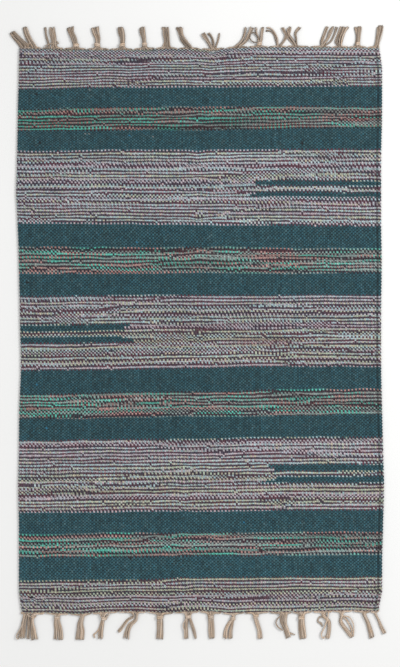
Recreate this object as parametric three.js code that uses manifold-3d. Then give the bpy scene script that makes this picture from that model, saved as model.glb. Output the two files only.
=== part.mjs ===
// A flat-woven kilim rug lying on the floor, with its warp ends knotted into tassels at both ends.
// Millimetres. +X runs to the right selvedge, +Y to the head end and +Z up. The floor is z = 0,
// and the origin is on it, under the middle of the whole outline.

import * as THREE from 'three';
import { mergeVertices } from 'three/addons/utils/BufferGeometryUtils.js';
import Module from 'manifold-3d';

const manifold = await Module();
manifold.setup();

// The woven field
const WOVEN_WIDTH = 610;
const WOVEN_LENGTH = 950;
const CLOTH_THICKNESS = 5;
const EDGE_ROUNDING = 1.7;
const EDGE_ROUNDING_STEPS = 2;
const CORNER_CUT = 4;
const SELVEDGE_STEP = 30;
const WOVEN_END_STEP = 15;

// How far each selvedge wanders outwards (+) or inwards (-), at a distance along the rug from its middle
const SELVEDGES = [
  { along: -475, left: -4.2, right: -6.7 },
  { along: -461, left: -1.2, right: -2.5 },
  { along: -438, left: 0.0, right: 0.0 },
  { along: -388, left: 0.0, right: 0.0 },
  { along: -329, left: 0.0, right: 1.7 },
  { along: -267, left: 1.2, right: 3.4 },
  { along: -203, left: 0.0, right: 1.7 },
  { along: -139, left: -0.5, right: 0.0 },
  { along: -63, left: -3.4, right: -1.7 },
  { along: 24, left: -1.7, right: -1.7 },
  { along: 113, left: 0.0, right: -0.7 },
  { along: 180, left: 2.0, right: -1.7 },
  { along: 226, left: 4.7, right: -1.7 },
  { along: 284, left: 3.0, right: -1.7 },
  { along: 368, left: 1.7, right: 0.0 },
  { along: 436, left: 0.0, right: 0.0 },
  { along: 462, left: 0.0, right: -2.0 },
  { along: 475, left: -0.8, right: -5.0 },
];

// How far the two woven ends wander outwards, at a distance across the rug from its middle
const WOVEN_ENDS = [
  { across: -305, head: -0.3, foot: 0.6 },
  { across: -255, head: -1.0, foot: 0.4 },
  { across: -205, head: -2.2, foot: 2.6 },
  { across: -160, head: -2.6, foot: -1.2 },
  { across: -110, head: -2.6, foot: -2.0 },
  { across: -60, head: -1.0, foot: 0.0 },
  { across: -10, head: -1.2, foot: -2.4 },
  { across: 18, head: -3.6, foot: -2.2 },
  { across: 46, head: -0.4, foot: 0.6 },
  { across: 100, head: 1.5, foot: -1.2 },
  { across: 150, head: 1.7, foot: -0.8 },
  { across: 200, head: 1.4, foot: -2.4 },
  { across: 250, head: 1.0, foot: -3.6 },
  { across: 305, head: 0.5, foot: -1.6 },
];

// Warp ends gathered along the woven edge into each knot
const CLEARANCE = 0.3;
const GATHER_HEIGHT = 2.1;
const GATHER_TIP_DEPTH = 1.2;
const GATHER_ARM_DEPTH = 2.0;
const GATHER_THROAT_DEPTH = 5.0;
const GATHER_THROAT_HALF = 4.2;
const GATHER_EDGE_STEPS = 6;

// The overhand knots
const KNOT_WIDTH = 10.5;
const KNOT_LENGTH = 8.4;
const KNOT_HEIGHT = 6.4;
const KNOT_DISTANCE = 7.2;
const KNOT_ROUNDING = 1.6;
const KNOT_SECTION = [
  { across: 0.5, up: 0 },
  { across: 0.5, up: 0.5 },
  { across: 0.3, up: 0.9 },
  { across: 0, up: 1 },
  { across: -0.3, up: 0.9 },
  { across: -0.5, up: 0.5 },
  { across: -0.5, up: 0 },
];

// The loose strands below a knot: a lower row flat on the floor and an upper row lying on it
const ROWS = [
  { strands: 5, lift: 0, fill: 1, short: 0 },
  { strands: 3, lift: 2.15, fill: 0.62, short: 2.5 },
];
const STRAND_STEPS = 3;
const STRAND_HEIGHT = 1.9;
const STRAND_SHARE = 0.8;
const STRAND_MAX_WIDTH = 2.6;
const STRAND_ROOT_LIFT = 0.5;
const KNOT_EXIT_WIDTH = 8;
const STRAND_WAVE = 0.35;
const STRAND_UNEVEN = 1.6;
const LANE_PHASE = 2.4;
const LEAN_EASE = 0.5;

// Tassels from left to right, in millimetres from the rug's middle: where the root and the tip are,
// how wide the tip spreads, how far it reaches from the woven edge and how far its middle bows right
const HEAD_TASSELS = [
  { root: -300, tip: -314, spread: 11, reach: 35, bow: 1 },
  { root: -283, tip: -295, spread: 9, reach: 37, bow: 0 },
  { root: -248, tip: -253, spread: 17, reach: 38, bow: 0 },
  { root: -212, tip: -219, spread: 11, reach: 37, bow: 0 },
  { root: -173, tip: -178, spread: 14, reach: 38, bow: 0 },
  { root: -131, tip: -137, spread: 13, reach: 37, bow: 0 },
  { root: -97, tip: -98, spread: 10, reach: 38, bow: 0 },
  { root: -57, tip: -60, spread: 14, reach: 37, bow: 0 },
  { root: -24, tip: -37, spread: 15, reach: 38, bow: -1 },
  { root: 19, tip: 16, spread: 28, reach: 27, bow: 0 },
  { root: 63, tip: 81, spread: 15, reach: 37, bow: 3 },
  { root: 98, tip: 103, spread: 12, reach: 38, bow: 1 },
  { root: 129, tip: 121, spread: 14, reach: 38, bow: 2 },
  { root: 159, tip: 155, spread: 20, reach: 37, bow: 0 },
  { root: 204, tip: 216, spread: 18, reach: 38, bow: 0 },
  { root: 231, tip: 241, spread: 18, reach: 38, bow: -1 },
  { root: 262, tip: 266, spread: 13, reach: 37, bow: 1 },
  { root: 294, tip: 302, spread: 11, reach: 38, bow: -1 },
];
const FOOT_TASSELS = [
  { root: -297, tip: -304, spread: 14, reach: 44, bow: 1 },
  { root: -282, tip: -279, spread: 10, reach: 45, bow: 0 },
  { root: -244, tip: -239, spread: 19, reach: 44, bow: 0 },
  { root: -202, tip: -206, spread: 17, reach: 45, bow: 0 },
  { root: -164, tip: -173, spread: 18, reach: 44, bow: 0 },
  { root: -115, tip: -126, spread: 17, reach: 44, bow: -2 },
  { root: -70, tip: -69, spread: 14, reach: 45, bow: 0 },
  { root: -23, tip: -17, spread: 20, reach: 44, bow: 0 },
  { root: 15, tip: 18, spread: 13, reach: 45, bow: 0 },
  { root: 51, tip: 44, spread: 17, reach: 44, bow: -2 },
  { root: 91, tip: 99, spread: 12, reach: 44, bow: 0 },
  { root: 135, tip: 147, spread: 16, reach: 45, bow: 1 },
  { root: 172, tip: 174, spread: 14, reach: 44, bow: 1 },
  { root: 203, tip: 209, spread: 13, reach: 44, bow: 1 },
  { root: 239, tip: 254, spread: 17, reach: 44, bow: 0 },
  { root: 274, tip: 286, spread: 11, reach: 45, bow: 0 },
  { root: 296, tip: 306, spread: 8, reach: 43, bow: 0 },
];

const WOOL = new THREE.MeshStandardMaterial({ color: 0x7a7779, roughness: 0.95, metalness: 0 });
const WARP_YARN = new THREE.MeshStandardMaterial({ color: 0xb09c8a, roughness: 0.92, metalness: 0 });

// A value read between the rows of a table, eased so that the edge has no corners
function tableValue(rows, key, column, at) {
  const upper = rows.findIndex((row, place) => place > 0 && row[key] >= at);
  const high = upper < 0 ? rows.length - 1 : upper;
  const from = rows[high - 1];
  const to = rows[high];
  const share = THREE.MathUtils.smoothstep(at, from[key], to[key]);
  return THREE.MathUtils.lerp(from[column], to[column], share);
}

// Distance of a selvedge from the rug's middle line
function selvedgeAt(side, along) {
  return WOVEN_WIDTH / 2 + tableValue(SELVEDGES, 'along', side, along);
}

// Distance of a woven end from the rug's middle, straight between even places across it
function wovenEndAt(end, across) {
  const place = Math.floor(across / WOVEN_END_STEP) * WOVEN_END_STEP;
  const here = tableValue(WOVEN_ENDS, 'across', end, place);
  const next = tableValue(WOVEN_ENDS, 'across', end, place + WOVEN_END_STEP);
  return WOVEN_LENGTH / 2 + THREE.MathUtils.lerp(here, next, (across - place) / WOVEN_END_STEP);
}

// Even places from one distance to another, about a step apart
function places(from, to, step) {
  const count = Math.round(Math.abs(to - from) / step);
  return Array.from({ length: count + 1 }, (_, place) => THREE.MathUtils.lerp(from, to, place / count));
}

// The woven field, one slab with rounded edges on its own wandering outline
function clothGeometry() {
  const halfLength = WOVEN_LENGTH / 2 - CORNER_CUT;
  const endReach = WOVEN_WIDTH / 2 - 2 * CORNER_CUT;
  const inner = Math.floor(endReach / WOVEN_END_STEP) * WOVEN_END_STEP;
  const across = [-endReach, ...places(-inner, inner, WOVEN_END_STEP), endReach];
  const along = places(-halfLength, halfLength, SELVEDGE_STEP);
  const outline = new THREE.Shape([
    ...across.map((x) => new THREE.Vector2(x, -wovenEndAt('foot', x))),
    ...along.map((y) => new THREE.Vector2(selvedgeAt('right', y), y)),
    ...across.toReversed().map((x) => new THREE.Vector2(x, wovenEndAt('head', x))),
    ...along.toReversed().map((y) => new THREE.Vector2(-selvedgeAt('left', y), y)),
  ]);
  const cloth = new THREE.ExtrudeGeometry(outline, {
    depth: CLOTH_THICKNESS - 2 * EDGE_ROUNDING,
    bevelThickness: EDGE_ROUNDING,
    bevelSize: EDGE_ROUNDING,
    bevelOffset: -EDGE_ROUNDING,
    bevelSegments: EDGE_ROUNDING_STEPS,
    steps: 1,
  });
  cloth.translate(0, 0, EDGE_ROUNDING);
  return cloth;
}

// The warp ends that run along the woven edge into a knot, from the middle of one gap to the next
function gatherGeometry(tassel) {
  const edge = (across) => tassel.edge(across) + CLEARANCE;
  const inner = places(tassel.from, tassel.to, (tassel.to - tassel.from) / GATHER_EDGE_STEPS);
  const halfLeft = (tassel.from - GATHER_THROAT_HALF) / 2;
  const halfRight = (tassel.to + GATHER_THROAT_HALF) / 2;
  const outer = [
    { across: tassel.to, depth: GATHER_TIP_DEPTH },
    { across: halfRight, depth: GATHER_ARM_DEPTH },
    { across: GATHER_THROAT_HALF, depth: GATHER_THROAT_DEPTH },
    { across: -GATHER_THROAT_HALF, depth: GATHER_THROAT_DEPTH },
    { across: halfLeft, depth: GATHER_ARM_DEPTH },
    { across: tassel.from, depth: GATHER_TIP_DEPTH },
  ];
  const outline = new THREE.Shape([
    ...inner.map((across) => new THREE.Vector2(across, edge(across))),
    ...outer.map((place) => new THREE.Vector2(place.across, edge(place.across) + place.depth)),
  ]);
  return new THREE.ExtrudeGeometry(outline, { depth: GATHER_HEIGHT, bevelEnabled: false, steps: 1 });
}

// An overhand knot, a rounded lump sitting flat on the floor
function knotGeometry(tassel) {
  const section = new THREE.Shape(KNOT_SECTION.map((corner) => {
    return new THREE.Vector2(corner.across * KNOT_WIDTH, corner.up * KNOT_HEIGHT);
  }));
  const knot = new THREE.ExtrudeGeometry(section, {
    depth: KNOT_LENGTH - 2 * KNOT_ROUNDING,
    bevelThickness: KNOT_ROUNDING,
    bevelSize: KNOT_ROUNDING,
    bevelOffset: -KNOT_ROUNDING,
    bevelSegments: 1,
    steps: 1,
  });
  knot.rotateX(Math.PI / 2);
  knot.translate(0, tassel.edge(0) + KNOT_DISTANCE + KNOT_LENGTH / 2 - KNOT_ROUNDING, 0);
  return knot;
}

// One loose strand of three flat sides, its base level with the floor
function strandGeometry(tassel, row, lane) {
  const middle = (row.strands - 1) / 2;
  const offset = (lane - middle) / row.strands;
  const start = tassel.edge(0) + KNOT_DISTANCE;
  const uneven = STRAND_UNEVEN * Math.sin(tassel.seed + lane * LANE_PHASE + row.lift);
  const end = tassel.edge(0) + tassel.reach - row.short - Math.abs(uneven);
  const corners = [];
  for (let step = 0; step <= STRAND_STEPS; step += 1) {
    const share = step / STRAND_STEPS;
    const ease = Math.sin((share * Math.PI) / 2);
    const width = THREE.MathUtils.lerp(KNOT_EXIT_WIDTH, tassel.spread, share) * row.fill;
    const half = Math.min((width / row.strands) * STRAND_SHARE, STRAND_MAX_WIDTH) / 2;
    const wave = STRAND_WAVE * Math.sin(tassel.seed + share * Math.PI * 2) * share;
    const bow = tassel.bow * Math.sin(share * Math.PI);
    const lean = tassel.lean * THREE.MathUtils.lerp(share, ease, LEAN_EASE);
    const across = lean + bow + wave + offset * width;
    const along = THREE.MathUtils.lerp(start, end, share);
    const base = row.lift + (step === 0 ? STRAND_ROOT_LIFT : 0);
    corners.push(across - half, along, base);
    corners.push(across + half, along, base);
    corners.push(across, along, base + STRAND_HEIGHT);
  }
  const faces = [0, 1, 2];
  for (let step = 0; step < STRAND_STEPS; step += 1) {
    for (let side = 0; side < 3; side += 1) {
      const near = step * 3 + side;
      const nearNext = step * 3 + ((side + 1) % 3);
      faces.push(near, near + 3, nearNext, nearNext, near + 3, nearNext + 3);
    }
  }
  const last = STRAND_STEPS * 3;
  faces.push(last, last + 2, last + 1);
  const strand = new THREE.BufferGeometry();
  strand.setAttribute('position', new THREE.Float32BufferAttribute(corners, 3));
  strand.setIndex(faces);
  return strand;
}

// A closed geometry as a solid that can be joined
function solidOf(geometry) {
  const bare = geometry.clone();
  bare.deleteAttribute('normal');
  bare.deleteAttribute('uv');
  const merged = mergeVertices(bare);
  return new manifold.Manifold(new manifold.Mesh({
    numProp: 3,
    vertProperties: new Float32Array(merged.attributes.position.array),
    triVerts: new Uint32Array(merged.index.array),
  }));
}

// Closed geometries fused into one
function fused(geometries) {
  const whole = geometries.map(solidOf).reduce((joined, next) => joined.add(next));
  const { vertProperties, triVerts } = whole.getMesh();
  const geometry = new THREE.BufferGeometry();
  geometry.setAttribute('position', new THREE.BufferAttribute(vertProperties, 3));
  geometry.setIndex(new THREE.BufferAttribute(triVerts, 1));
  geometry.computeVertexNormals();
  return geometry;
}

// One tassel in its own frame, its root at x = 0 and its strands running along +Y
function tasselGeometry(tassel) {
  const strands = ROWS.flatMap((row) => {
    return Array.from({ length: row.strands }, (_, lane) => strandGeometry(tassel, row, lane));
  });
  return fused([gatherGeometry(tassel), knotGeometry(tassel), ...strands]);
}

// All the tassels of one woven end; the foot's group is turned half round, so its rows run the other way
function tasselRow(end, rows) {
  const group = new THREE.Group();
  const facing = end === 'head' ? 1 : -1;
  const outermost = WOVEN_WIDTH / 2 - CORNER_CUT;
  rows.forEach((row, place) => {
    const before = place === 0 ? -outermost : (rows[place - 1].root + row.root + CLEARANCE) / 2;
    const after = place === rows.length - 1 ? outermost : (row.root + rows[place + 1].root - CLEARANCE) / 2;
    const sides = [(before - row.root) * facing, (after - row.root) * facing];
    const tassel = {
      from: Math.min(...sides),
      to: Math.max(...sides),
      lean: (row.tip - row.root) * facing,
      bow: row.bow * facing,
      spread: row.spread,
      reach: row.reach,
      seed: place,
      edge: (across) => wovenEndAt(end, row.root + across * facing),
    };
    const mesh = new THREE.Mesh(tasselGeometry(tassel), WARP_YARN);
    mesh.name = `tassel_${end}_${String(place + 1).padStart(2, '0')}`;
    mesh.position.x = row.root * facing;
    group.add(mesh);
  });
  group.rotation.z = end === 'head' ? 0 : Math.PI;
  return group;
}

const cloth = new THREE.Mesh(clothGeometry(), WOOL);
cloth.name = 'rug';

const kilim = new THREE.Group();
kilim.add(cloth, tasselRow('head', HEAD_TASSELS), tasselRow('foot', FOOT_TASSELS));
kilim.updateMatrixWorld(true);
const middle = new THREE.Box3().setFromObject(kilim, true).getCenter(new THREE.Vector3());
kilim.position.set(-middle.x, -middle.y, 0);

export default kilim;
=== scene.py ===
"""Flat-woven kilim rug with knotted fringes, laid on a pale studio floor."""

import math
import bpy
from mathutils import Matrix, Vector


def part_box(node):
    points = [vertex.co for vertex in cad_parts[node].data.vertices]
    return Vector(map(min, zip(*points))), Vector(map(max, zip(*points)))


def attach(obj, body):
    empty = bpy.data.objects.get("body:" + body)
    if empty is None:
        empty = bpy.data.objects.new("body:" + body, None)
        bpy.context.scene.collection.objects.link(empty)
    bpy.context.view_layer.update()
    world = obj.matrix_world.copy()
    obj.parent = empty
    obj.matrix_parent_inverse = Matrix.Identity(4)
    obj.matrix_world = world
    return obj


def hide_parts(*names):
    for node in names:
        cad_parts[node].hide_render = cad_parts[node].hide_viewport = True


bl_info = {
    "name": "Kilim rug",
    "version": (1, 0, 0),
    "blender": (4, 5, 0),
    "location": "3D View > Sidebar > Kilim",
    "description": "Weaves a striped kilim on its packed frame and knots its fringes",
    "category": "Add Mesh",
}

from collections import namedtuple
from functools import partialmethod

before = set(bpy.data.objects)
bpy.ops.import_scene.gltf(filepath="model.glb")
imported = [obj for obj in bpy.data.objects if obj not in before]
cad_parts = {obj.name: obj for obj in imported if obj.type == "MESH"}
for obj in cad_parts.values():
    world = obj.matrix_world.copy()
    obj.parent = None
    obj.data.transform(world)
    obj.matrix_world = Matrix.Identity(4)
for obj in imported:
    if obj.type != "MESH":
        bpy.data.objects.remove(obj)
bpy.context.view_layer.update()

import bpy
import numpy as np
from bpy.props import FloatProperty, FloatVectorProperty, PointerProperty
from mathutils import Vector

MM = 0.001

# The cloth: places across and along it are in millimetres from the middle of the woven field

# The middle lies a little off the middle of the rug's box
RUG_LOW, RUG_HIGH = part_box("rug")
MIDDLE = np.array([(RUG_LOW.x + RUG_HIGH.x) / 2 + 0.65 * MM, (RUG_LOW.y + RUG_HIGH.y) / 2 + 0.45 * MM])
CUT_WIDTH = 0.610
WARPS = 198

# Places across the rug where the band borders are measured
BORDER_PLACES = (-271, -144, -1, 142, 271)

# Bands from head to foot: tone is their lightness, lean how far their picks lean to lines rather than dots,
# and borders how far along the rug their upper border lies at each place. The first starts at the woven end
Band = namedtuple("Band", "kind picks tone lean borders")
BANDS = tuple(Band(*row) for row in (
    ("marl", 25, 0.925, 0.08, ()),
    ("teal", 15, 1.0, 0.0, (406.9, 409.9, 410.6, 411.5, 412.6)),
    ("mixed", 13, 0.80, 0.01, (370.3, 373.5, 374.8, 375.5, 374.8)),
    ("teal", 15, 1.0, 0.0, (336.6, 338.0, 338.7, 341.3, 342.7)),
    ("marl", 46, 0.975, 0.0, (303.2, 304.4, 304.1, 306.7, 306.4)),
    ("teal", 14, 1.0, 0.0, (182.7, 182.4, 180.2, 179.5, 177.5)),
    ("mixed", 15, 1.0, 0.05, (142.4, 140.5, 142.0, 139.2, 138.3)),
    ("teal", 15, 1.0, 0.0, (98.9, 98.1, 99.4, 98.1, 98.6)),
    ("marl", 44, 0.94, 0.06, (56.4, 58.0, 58.6, 58.6, 58.7)),
    ("teal", 15, 1.0, 0.0, (-68.0, -66.3, -63.1, -60.7, -61.2)),
    ("mixed", 15, 1.0, 0.09, (-105.1, -102.6, -101.8, -97.9, -97.0)),
    ("teal", 15, 1.0, 0.0, (-146.2, -144.2, -141.3, -141.5, -138.8)),
    ("marl", 44, 0.995, 0.0, (-183.4, -181.2, -180.4, -177.3, -176.5)),
    ("teal", 14, 1.07, 0.0, (-306.3, -304.9, -303.8, -302.1, -301.7)),
    ("mixed", 14, 1.05, 0.12, (-343.1, -341.5, -341.3, -338.8, -339.5)),
    ("teal", 15, 1.15, 0.0, (-378.9, -377.9, -376.6, -375.6, -374.1)),
    ("marl", 21, 0.965, 0.03, (-421.8, -419.8, -416.9, -414.7, -414.8)),
))
PICKS = sum(band.picks for band in BANDS)
BAND_STARTS = tuple(sum(band.picks for band in BANDS[:number]) for number in range(len(BANDS)))

# The band of each row of the cloth's grid
ROW_BANDS = np.searchsorted(BAND_STARTS, np.arange(PICKS + 1), side="right") - 1

# Thin teal bars: the band they lie in, first pick in it, picks, where the first and the last of these end
# across the rug, and the side they run to
THIN_BARS = (
    (4, 20, 3, 90, 97, 1),
    (4, 27, 3, 95, 82, 1),
    (8, 17, 4, -120, -132, -1),
    (8, 24, 4, -133, -113, -1),
    (12, 17, 4, 113, 122, 1),
    (12, 24, 4, 130, 103, 1),
)

# A patch where the pale strand turns to madder: the warp and pick of its middle, and how far it reaches
MADDER_MIDDLE = (130.0, BAND_STARTS[8] + 28.0)
MADDER_REACH = (24.0, 3.5)

# The picks of the first mixed band, which hold more of the warm dye down to a certain pick
FIRST_MIXED = (BAND_STARTS[2] - 0.5, float(BAND_STARTS[3]))
WARM_UNTIL = BAND_STARTS[2] + 5.5

# Small slubs of stray fibre: their colour, how many beads each one covers, and their places across and along
SLUBS = {
    "dark": ((0.01, 0.014, 0.016, 1.0), 2, (
        (-276, 395), (-271, 313), (172, 313), (-290, 78), (-117, -386), (-285, -450))),
    "blue": ((0.02, 0.15, 0.26, 1.0), 1, (
        (-120, 325), (-107, 147), (-275, -94), (-258, -166), (73, -324))),
    "pale": ((0.15, 0.17, 0.17, 1.0), 1, (
        (-192, 328), (-187, 329), (-81, 324), (-186, 402))),
}

# How far from the middle a point of the CAD rug's edge counts as on a side or an end, clear of the corners
SIDES_FROM = 0.290
ENDS_FROM = 0.460
CORNERS_FROM = 0.3

# How far the beaded face stops short of the edge, and how far the head end lies in from the frame's edge and
# the foot end out from it
EDGE_INSET = 2.0 * MM
HEAD_PULL = 2.6 * MM
FOOT_PUSH = 1.0 * MM

# A notch pulled into the head end, and a seam down the cloth where the picks jolt and that steps aside once
NOTCH_PLACE = 22 * MM
NOTCH_DEPTH = 4.0 * MM
NOTCH_WIDTH = 5 * MM
SEAM_TURN = -0.12
SEAM_PLACES = (-3 * MM, -28 * MM)
SEAM_WIDTH = 11 * MM

# The column of the crease beside the right selvedge cord, how low it and the ends lie, and over how many
# beads the small waves die out toward the edge
CORD_COLUMN = 197
CORD_DROP = 0.55 * MM
END_DROP = 0.3 * MM
EDGE_FADE = 4

# The rounded rim: its rings, radius, warps and picks in a millimetre, and its reach at a corner
RIM_STEPS = 6
RIM_RADIUS = 2.6 * MM
RIM_WEAVE = np.array([1 / 3.08, -1 / 2.4])
CORNER_REACH = 1 / 1.24

# The underside: the rows and columns in each of its faces, and its height over the floor
UNDERSIDE_STEP = 6
UNDERSIDE_RISE = 0.15 * MM

# The map for baking: metres along its side, the strips kept free beside the upper and the lower island, the
# width of the upper island and of the flattened cloth, and the gaps
BAKE_SPAN = 0.975
BAKE_EDGES = (0.006, 0.004)
UPPER_ISLAND = 0.648
FLAT_WIDTH = 0.632
BAKE_GAP = 0.004

# The fringes

# Tassels from left to right, in millimetres from the middle: the knot across and along, and the width of its
# wraps, or 0 where none show. Then its bundles: yarns, width at the knot, width at the tips, and the places
# they run through
HEAD_TASSELS = (
    (-298, 478.5, 0, (
        (7, 14, 9, -298, 476, -305, 484, -312, 492, -318, 499),
        (4, 6, 5, -290, 476, -296, 482, -305, 491, -314, 501))),
    (-283, 478.5, 0, (
        (8, 11, 9, -281, 476, -287, 486, -292, 496, -295, 508),
        (3, 5, 4, -290, 477, -286, 484, -290, 494, -296, 508))),
    (-249.5, 477.5, 0, (
        (3, 4, 5, -255, 478, -258, 488, -260, 498, -261, 508),
        (7, 10, 12, -246, 480, -247, 491, -249, 499, -249, 508),
        (1, 1.5, 1.5, -259, 477, -248, 480, -239, 480, -243, 484, -249, 486))),
    (-209, 477, 8.5, ((11, 10, 12, -210, 478, -213, 489, -217, 499, -219, 508),)),
    (-173.5, 477.5, 9, ((11, 8.5, 15, -173, 478, -173, 489, -176, 499, -178, 508),)),
    (-131.5, 477.5, 8.5, ((11, 8.5, 12.5, -131, 478, -131, 489, -133, 499, -135, 508),)),
    (-94, 478.5, 7.5, ((11, 7.5, 10, -94, 478, -95, 489, -97, 499, -98, 508),)),
    (-57, 479, 0, (
        (9, 11, 12, -56, 478, -57, 489, -58, 499, -58, 508),
        (2, 3.5, 3.5, -62, 478, -60, 484, -61, 498, -64, 508))),
    (-18.5, 476.5, 0, (
        (8, 6.5, 8.5, -18, 476, -27, 486, -32, 496, -34, 508),
        (3, 5, 5, -24, 476, -32, 486, -35, 496, -40, 508))),
    (22, 470, 0, (
        (5, 6.5, 8.5, 20, 470, 13, 483, 8, 491, 4, 498), (3, 3.5, 6.5, 22, 471, 22, 483, 18, 493, 13, 498),
        (3, 3.5, 4, 25, 472, 29, 483, 31, 491, 32, 498))),
    (61.5, 476, 0, (
        (5, 5, 5, 60, 476, 68, 483, 73, 492, 75, 503, 76, 508),
        (6, 5, 8.5, 66, 476, 75, 483, 81, 492, 84, 501, 87, 508))),
    (99, 479.5, 7.5, (
        (7, 6.5, 6, 99, 479, 102, 488, 103, 498, 105, 508), (3, 3.5, 5, 97, 480, 97, 489, 94, 498, 93, 508),
        (1, 1.5, 1.5, 97, 481, 88, 483, 83, 489, 84, 496, 89, 499, 95, 493, 98, 486))),
    (130, 477.5, 0, (
        (2, 2.5, 3.5, 129, 477, 126, 488, 123, 496, 117, 501, 110, 503),
        (2, 2.5, 3.5, 130, 477, 129, 489, 123, 501, 117, 506, 111, 507),
        (4, 5, 6.5, 134, 477, 141, 486, 144, 494, 141, 501, 138, 508),
        (3, 3.5, 5, 135, 476, 140, 484, 149, 496, 152, 508))),
    (160.5, 478.5, 0, (
        (2, 2.5, 3.5, 157, 478, 150, 486, 144, 495, 139, 506),
        (5, 5, 6.5, 160, 477, 154, 487, 148, 496, 148, 503, 151, 508),
        (4, 3.5, 6.5, 162, 478, 161, 489, 160, 498, 167, 508))),
    (206, 478.5, 0, (
        (4, 6.5, 6.5, 204, 477, 204, 484, 208, 496, 213, 509),
        (4, 5, 6.5, 206, 478, 213, 487, 218, 498, 223, 509),
        (3, 3.5, 5, 209, 477, 219, 484, 225, 496, 229, 509))),
    (234.5, 478.5, 0, (
        (4, 5, 6.5, 232, 478, 228, 483, 232, 495, 237, 509),
        (3, 3.5, 5, 233, 478, 234, 489, 238, 499, 242, 509),
        (4, 5, 6.5, 236, 478, 238, 489, 242, 501, 248, 509))),
    (264, 479.5, 6.5, (
        (2, 3.5, 5, 261, 480, 263, 491, 261, 501, 260, 509),
        (9, 6.5, 11, 265, 479, 265, 489, 266, 499, 267, 509))),
    (296.5, 478.5, 0, (
        (3, 3.5, 3.5, 294, 478, 296, 489, 297, 501, 298, 509),
        (8, 6.5, 10, 297, 477, 299, 489, 302, 501, 304, 511))),
)
FOOT_TASSELS = (
    (-293, 481.5, 0, (
        (6, 8.5, 13.5, -294, 479, -297, 492, -299, 505, -301, 520),
        (4, 5, 6.5, -289, 480, -289, 494, -289, 507, -290, 521),
        (1, 1.5, 1.5, -296, 480, -299, 495, -305, 507, -309, 514, -308, 519, -305, 521))),
    (-281.5, 482.5, 5, (
        (1, 1.5, 1.5, -290, 480, -285, 483, -280, 484, -276, 482, -280, 481),
        (9, 5, 12, -282, 483, -283, 494, -281, 507, -279, 522))),
    (-241, 485, 9, ((11, 9, 18.5, -241, 483, -241, 494, -239, 507, -239, 522),)),
    (-200, 485, 0, ((11, 8.5, 16, -199, 484, -202, 495, -202, 507, -203, 522),)),
    (-163, 486, 6.5, (
        (7, 6.5, 10, -164, 487, -166, 497, -168, 509, -168, 521),
        (2, 2.5, 3.5, -165, 487, -170, 502, -175, 510, -179, 514, -178, 519),
        (1, 1.5, 1.5, -155, 481, -161, 487, -166, 493, -165, 500),
        (1, 1.5, 1.5, -167, 483, -160, 488, -157, 484, -160, 481))),
    (-114, 484.5, 0, (
        (5, 5, 6, -113, 483, -122, 488, -131, 500, -138, 509),
        (6, 5, 12.5, -107, 481, -109, 489, -118, 497, -123, 508, -124, 521))),
    (-68, 483.5, 11, ((11, 11, 13.5, -68, 483, -68, 495, -68, 507, -69, 521),)),
    (-20.5, 483, 9, (
        (1, 1.5, 1.5, -24, 485, -29, 496, -27, 507, -26, 520),
        (6, 6.5, 9, -23, 484, -24, 495, -24, 507, -24, 520),
        (4, 5, 7.5, -18, 484, -15, 495, -11, 507, -8, 520))),
    (17.5, 483, 9, ((11, 10, 12, 17, 483, 18, 495, 18, 507, 19, 520),)),
    (54.5, 486, 7.5, (
        (6, 5, 8.5, 55, 486, 49, 493, 43, 505, 41, 520), (5, 5, 8.5, 55, 488, 53, 497, 51, 509, 51, 520))),
    (93, 482, 8.5, ((11, 7.5, 9.5, 92, 483, 95, 494, 99, 507, 101, 520),)),
    (138.5, 481.5, 0, (
        (1, 1.5, 1.5, 135, 481, 129, 487, 127, 494, 131, 501, 139, 506),
        (8, 12, 10, 139, 482, 139, 492, 144, 505, 148, 519),
        (2, 2.5, 2.5, 145, 482, 144, 495, 148, 508, 154, 512, 159, 513))),
    (169.5, 484.5, 10, ((11, 11, 13.5, 170, 483, 170, 495, 171, 507, 173, 520),)),
    (207.5, 481.5, 0, (
        (2, 3.5, 3.5, 209, 483, 200, 484, 197, 491, 202, 495, 205, 500),
        (7, 6.5, 8.5, 207, 482, 215, 491, 216, 505, 214, 520),
        (1, 1.5, 1.5, 214, 483, 209, 499, 203, 512, 206, 519, 210, 516))),
    (237.5, 481.5, 0, (
        (7, 6, 8.5, 237, 482, 236, 492, 244, 504, 255, 518),
        (2, 2.5, 2.5, 239, 483, 245, 488, 253, 502, 255, 512),
        (1, 1.5, 1.5, 239, 481, 250, 484, 257, 495, 257, 507, 258, 517))),
    (275.5, 481, 0, ((11, 6.5, 8.5, 276, 481, 281, 492, 285, 505, 288, 519),)),
    (295, 478.5, 0, ((5, 5, 5, 294, 478, 299, 488, 304, 500, 309, 512),)),
)

# The stretch of woven edge that no tassel gathers, on each side of its own
SPAN_GAP = 1.5 * MM

# Yarns are lighter and darker in streaks across a tassel, lighter at the foot, and rest just over the floor.
# The last one is the thickness of a wisp beside that of a yarn
STREAK = 0.42
FOOT_TONE = 0.45
YARN_REST = 0.05 * MM
WISP_SHARE = 0.22

# The wraps of a knot, in yarn radii: their spacing, thickness, height over the floor and half height
WRAP_STEP = 2.4
WRAP_THICKNESS = 1.3
WRAP_LEVEL = 2.9
WRAP_HEIGHT = 1.9

# The camera: its sensor in millimetres, then the height, middle and level of the view that it takes in
SENSOR = 36.0
VIEW_HEIGHT = 1.1206
VIEW_OFFSET = np.array([-0.84, -7.14]) * MM
VIEW_LEVEL = 3 * MM

# Settings a user would change


def colour_setting(name, description, red, green, blue):
    """A colour setting whose default is given as display red, green and blue from 0 to 255."""
    return FloatVectorProperty(
        name=name, description=description, subtype="COLOR_GAMMA", size=3, min=0, max=1,
        default=(red / 255, green / 255, blue / 255),
    )


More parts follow.
